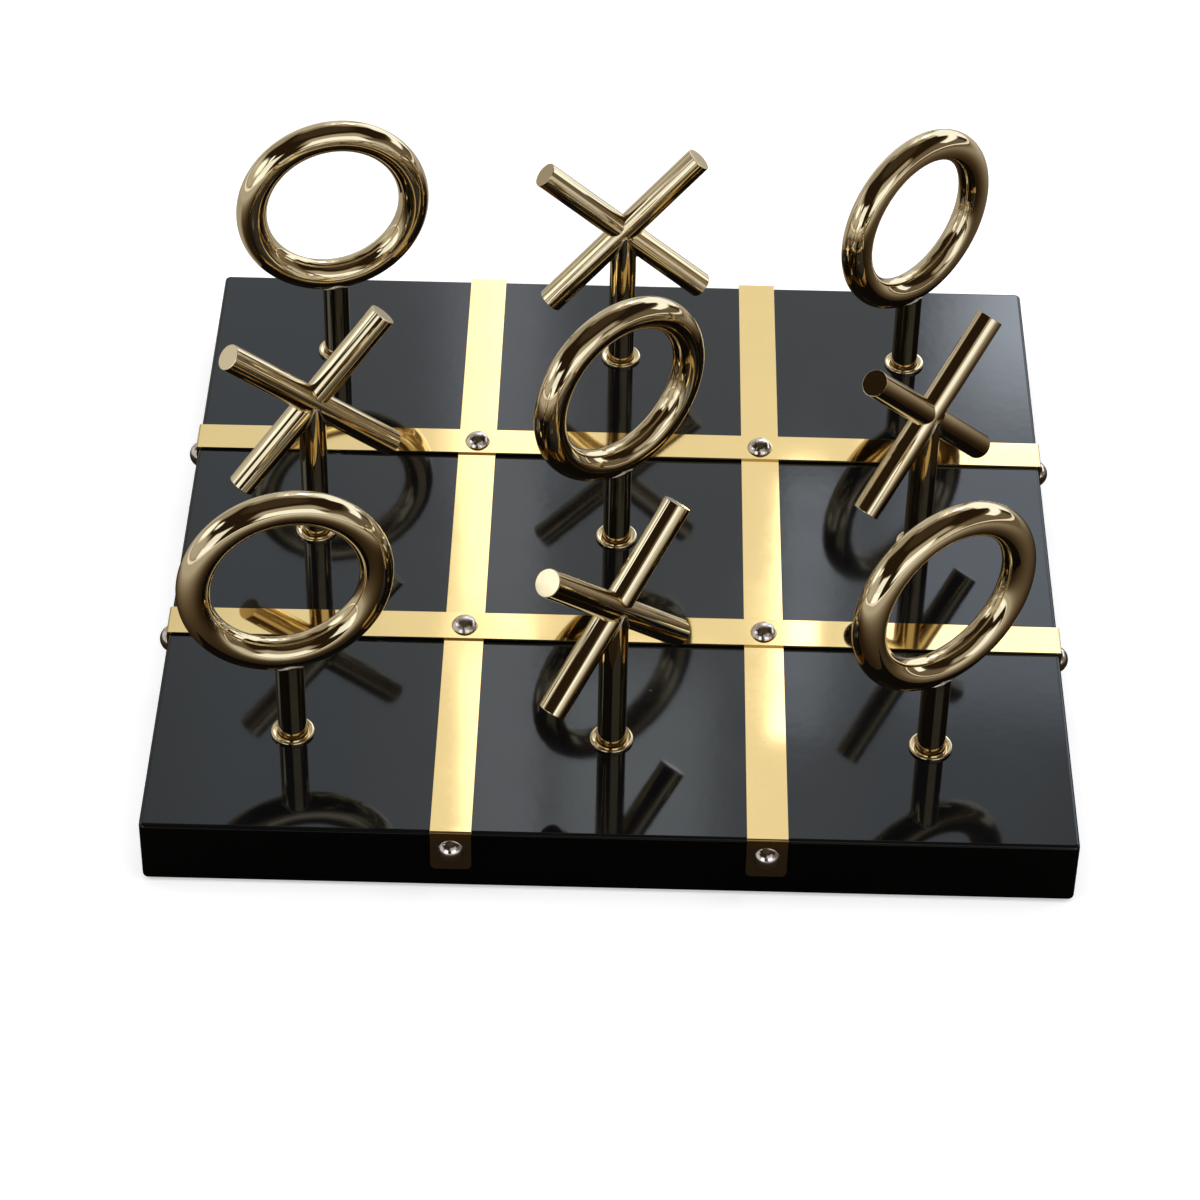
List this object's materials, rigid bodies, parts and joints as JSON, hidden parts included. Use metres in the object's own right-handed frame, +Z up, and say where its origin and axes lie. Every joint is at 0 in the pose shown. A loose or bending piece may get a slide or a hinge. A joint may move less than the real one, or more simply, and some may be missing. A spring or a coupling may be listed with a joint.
{
  "type": "tic-tac-toe board",
  "caption": "Standing tic-tac-toe set: glossy black square board, brass straps crossing as the grid, and mirror-polished brass rings and crosses on round posts in flanged sockets.",
  "frame": {"origin": "middle of the felt's underside, on the table", "axes": "+Z up, +Y to the back row, +X to the right as a player in front sees it"},
  "size_m": [0.3132, 0.3132, 0.126],
  "materials": {
    "lacquer": "black high-gloss lacquer, polished to a mirror",
    "felt": "short matt felt",
    "strap_brass": "pale brass strip, polished",
    "bar_brass": "champagne-coloured brass, mirror polished",
    "stud_chrome": "bright plated dome heads"
  },
  "bodies": {
    "board": {"board": "lacquer", "felt_base": "felt", "strap_left": "strap_brass", "strap_right": "strap_brass", "strap_back": "strap_brass", "strap_front": "strap_brass", "stud_crossing_front_left": "stud_chrome", "stud_tab_left_strap_front": "stud_chrome", "stud_tab_front_strap_left": "stud_chrome", "stud_crossing_front_right": "stud_chrome", "stud_tab_right_strap_front": "stud_chrome", "stud_tab_front_strap_right": "stud_chrome", "stud_crossing_back_left": "stud_chrome", "stud_tab_left_strap_back": "stud_chrome", "stud_tab_back_strap_left": "stud_chrome", "stud_crossing_back_right": "stud_chrome", "stud_tab_right_strap_back": "stud_chrome", "stud_tab_back_strap_right": "stud_chrome", "socket_back_left": "bar_brass", "socket_back_centre": "bar_brass", "socket_back_right": "bar_brass", "socket_middle_left": "bar_brass", "socket_middle_centre": "bar_brass", "socket_middle_right": "bar_brass", "socket_front_left": "bar_brass", "socket_front_centre": "bar_brass", "socket_front_right": "bar_brass"},
    "post_back_left": {"post_back_left": "bar_brass"},
    "head_back_left": {"ring_back_left": "bar_brass"},
    "post_back_centre": {"post_back_centre": "bar_brass"},
    "head_back_centre": {"cross_back_centre_through_rod": "bar_brass", "cross_back_centre_upper_rod": "bar_brass", "cross_back_centre_lower_rod": "bar_brass"},
    "post_back_right": {"post_back_right": "bar_brass"},
    "head_back_right": {"ring_back_right": "bar_brass"},
    "post_middle_left": {"post_middle_left": "bar_brass"},
    "head_middle_left": {"cross_middle_left_through_rod": "bar_brass", "cross_middle_left_upper_rod": "bar_brass", "cross_middle_left_lower_rod": "bar_brass"},
    "post_middle_centre": {"post_middle_centre": "bar_brass"},
    "head_middle_centre": {"ring_middle_centre": "bar_brass"},
    "post_middle_right": {"post_middle_right": "bar_brass"},
    "head_middle_right": {"cross_middle_right_through_rod": "bar_brass", "cross_middle_right_upper_rod": "bar_brass", "cross_middle_right_lower_rod": "bar_brass"},
    "post_front_left": {"post_front_left": "bar_brass"},
    "head_front_left": {"ring_front_left": "bar_brass"},
    "post_front_centre": {"post_front_centre": "bar_brass"},
    "head_front_centre": {"cross_front_centre_through_rod": "bar_brass", "cross_front_centre_upper_rod": "bar_brass", "cross_front_centre_lower_rod": "bar_brass"},
    "post_front_right": {"post_front_right": "bar_brass"},
    "head_front_right": {"ring_front_right": "bar_brass"}
  },
  "joints": [
    {"name": "lift_back_left", "type": "slide", "parent": "board", "child": "post_back_left", "axis": [0, 0, 1], "range_m": [0, 0.03]},
    {"name": "turn_back_left", "type": "hinge", "parent": "post_back_left", "child": "head_back_left", "pos_m": [-0.106, 0.106, 0.02505], "axis": [0, 0, 1], "continuous": true},
    {"name": "lift_back_centre", "type": "slide", "parent": "board", "child": "post_back_centre", "axis": [0, 0, 1], "range_m": [0, 0.03]},
    {"name": "turn_back_centre", "type": "hinge", "parent": "post_back_centre", "child": "head_back_centre", "pos_m": [0, 0.106, 0.02505], "axis": [0, 0, 1], "continuous": true},
    {"name": "lift_back_right", "type": "slide", "parent": "board", "child": "post_back_right", "axis": [0, 0, 1], "range_m": [0, 0.03]},
    {"name": "turn_back_right", "type": "hinge", "parent": "post_back_right", "child": "head_back_right", "pos_m": [0.106, 0.106, 0.02505], "axis": [0, 0, 1], "continuous": true},
    {"name": "lift_middle_left", "type": "slide", "parent": "board", "child": "post_middle_left", "axis": [0, 0, 1], "range_m": [0, 0.03]},
    {"name": "turn_middle_left", "type": "hinge", "parent": "post_middle_left", "child": "head_middle_left", "pos_m": [-0.106, 0, 0.02505], "axis": [0, 0, 1], "continuous": true},
    {"name": "lift_middle_centre", "type": "slide", "parent": "board", "child": "post_middle_centre", "axis": [0, 0, 1], "range_m": [0, 0.03]},
    {"name": "turn_middle_centre", "type": "hinge", "parent": "post_middle_centre", "child": "head_middle_centre", "pos_m": [0, 0, 0.02505], "axis": [0, 0, 1], "continuous": true},
    {"name": "lift_middle_right", "type": "slide", "parent": "board", "child": "post_middle_right", "axis": [0, 0, 1], "range_m": [0, 0.03]},
    {"name": "turn_middle_right", "type": "hinge", "parent": "post_middle_right", "child": "head_middle_right", "pos_m": [0.106, 0, 0.02505], "axis": [0, 0, 1], "continuous": true},
    {"name": "lift_front_left", "type": "slide", "parent": "board", "child": "post_front_left", "axis": [0, 0, 1], "range_m": [0, 0.03]},
    {"name": "turn_front_left", "type": "hinge", "parent": "post_front_left", "child": "head_front_left", "pos_m": [-0.106, -0.106, 0.02505], "axis": [0, 0, 1], "continuous": true},
    {"name": "lift_front_centre", "type": "slide", "parent": "board", "child": "post_front_centre", "axis": [0, 0, 1], "range_m": [0, 0.03]},
    {"name": "turn_front_centre", "type": "hinge", "parent": "post_front_centre", "child": "head_front_centre", "pos_m": [0, -0.106, 0.02505], "axis": [0, 0, 1], "continuous": true},
    {"name": "lift_front_right", "type": "slide", "parent": "board", "child": "post_front_right", "axis": [0, 0, 1], "range_m": [0, 0.03]},
    {"name": "turn_front_right", "type": "hinge", "parent": "post_front_right", "child": "head_front_right", "pos_m": [0.106, -0.106, 0.02505], "axis": [0, 0, 1], "continuous": true}
  ]
}
